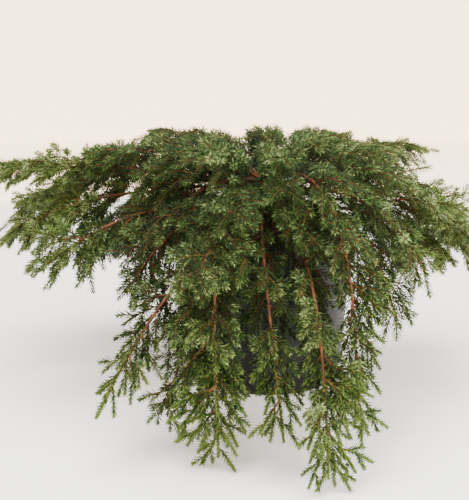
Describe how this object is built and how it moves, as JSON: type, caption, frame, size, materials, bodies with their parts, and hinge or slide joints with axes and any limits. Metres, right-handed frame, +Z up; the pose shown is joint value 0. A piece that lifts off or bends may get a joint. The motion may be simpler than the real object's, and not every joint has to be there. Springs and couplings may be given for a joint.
{
  "type": "potted creeping juniper",
  "caption": "Creeping juniper with long weeping boughs of short needles, spreading over the rim of a round black nursery pot that stands on its flat underside.",
  "frame": {"origin": "centre of the pot's flat underside, on the surface the pot stands on", "axes": "+Z up out of the pot, the camera of the picture looks along +Y, +X to the picture's right"},
  "size_m": [0.5382, 0.5467, 0.2592],
  "materials": {
    "pot_plastic": "black moulded nursery plastic with a soft sheen",
    "potting_soil": "dark crumbly peat",
    "bark": "reddish brown flaking bark",
    "foliage": "mid green needles, lighter at the shoot tips"
  },
  "bodies": {
    "root": {"bough_back": "bark", "bough_back_left": "bark", "bough_back_low": "bark", "bough_back_low_left": "bark", "bough_back_low_right": "bark", "bough_back_right": "bark", "bough_back_side": "bark", "bough_back_top": "bark", "bough_center": "bark", "bough_center_fork": "bark", "bough_front_left": "bark", "bough_front_right": "bark", "bough_left": "bark", "bough_left_back": "bark", "bough_left_front": "bark", "bough_left_low": "bark", "bough_left_top": "bark", "bough_lower_left": "bark", "bough_mid_left": "bark", "bough_right": "bark", "bough_right_front": "bark", "bough_right_long": "bark", "bough_right_low": "bark", "bough_right_side": "bark", "bough_right_top": "bark", "foliage_back": "foliage", "foliage_back_left": "foliage", "foliage_back_low": "foliage", "foliage_back_low_left": "foliage", "foliage_back_low_right": "foliage", "foliage_back_right": "foliage", "foliage_back_side": "foliage", "foliage_back_top": "foliage", "foliage_center": "foliage", "foliage_center_fork": "foliage", "foliage_dome_back": "foliage", "foliage_dome_front": "foliage", "foliage_dome_front_left": "foliage", "foliage_dome_front_right": "foliage", "foliage_dome_left": "foliage", "foliage_dome_right": "foliage", "foliage_front_left": "foliage", "foliage_front_right": "foliage", "foliage_left": "foliage", "foliage_left_back": "foliage", "foliage_left_front": "foliage", "foliage_left_low": "foliage", "foliage_left_top": "foliage", "foliage_lower_left": "foliage", "foliage_mid_left": "foliage", "foliage_right": "foliage", "foliage_right_front": "foliage", "foliage_right_long": "foliage", "foliage_right_low": "foliage", "foliage_right_side": "foliage", "foliage_right_top": "foliage", "pot": "pot_plastic", "potting_soil": "potting_soil", "trunk": "bark"}
  },
  "joints": []
}
